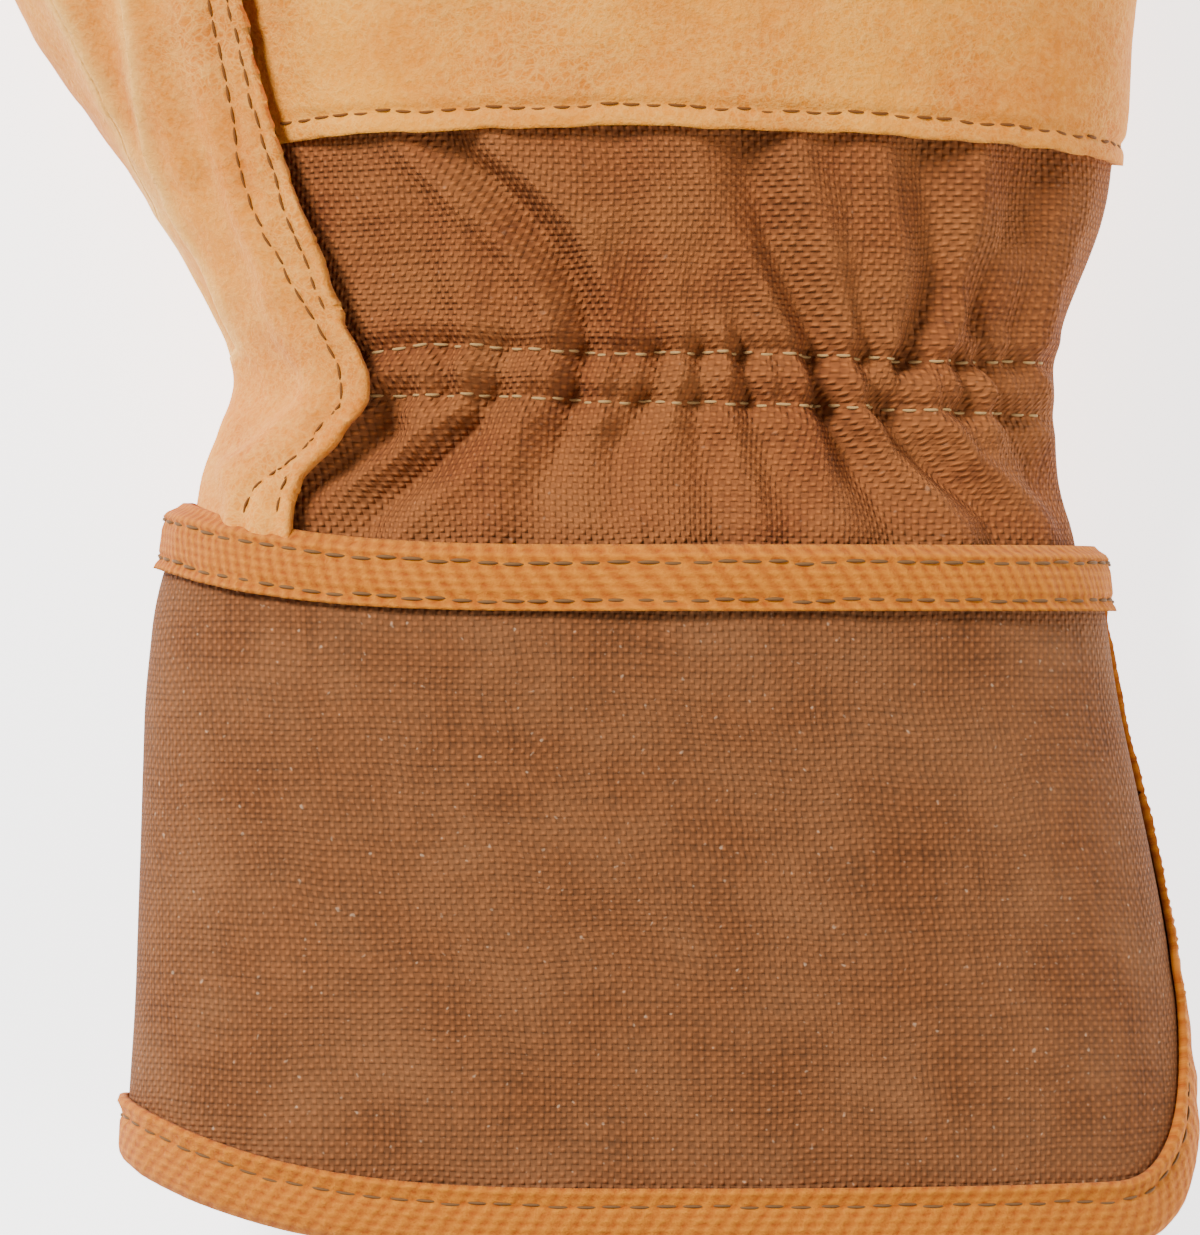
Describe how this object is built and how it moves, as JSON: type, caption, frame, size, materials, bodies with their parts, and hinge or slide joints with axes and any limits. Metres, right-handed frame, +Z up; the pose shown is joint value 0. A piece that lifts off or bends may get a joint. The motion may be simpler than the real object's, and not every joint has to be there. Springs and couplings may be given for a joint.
{
  "type": "rigger glove",
  "caption": "Right-hand rigger work glove with leather palm and strap, canvas back gathered at the wrist and a flared, slit, tape-bound cuff, lying palm down.",
  "frame": {"origin": "on the surface the glove lies on, under the middle of its bounding box", "axes": "+Y towards the fingertips, +X towards the little finger, +Z up through the back of the hand"},
  "size_m": [0.1518, 0.273, 0.0503],
  "materials": {
    "leather": "matte split cowhide, tan, with fine creases",
    "canvas": "brown cotton duck, plain weave",
    "cuff_canvas": "stiffened brown canvas",
    "tape": "mustard orange cotton twill tape"
  },
  "bodies": {
    "root": {"palm_leather": "leather", "back_canvas": "canvas", "knuckle_strap": "leather", "index_finger_front": "leather", "index_finger_back": "canvas", "index_fingertip": "leather", "middle_finger_front": "leather", "middle_finger_back": "canvas", "middle_fingertip": "leather", "ring_finger_front": "leather", "ring_finger_back": "canvas", "ring_fingertip": "leather", "little_finger_front": "leather", "little_finger_back": "canvas", "little_fingertip": "leather", "thumb_back": "leather", "thumb_front": "leather", "cuff": "cuff_canvas", "cuff_seam_tape": "tape", "cuff_hem_binding": "tape"}
  },
  "joints": []
}
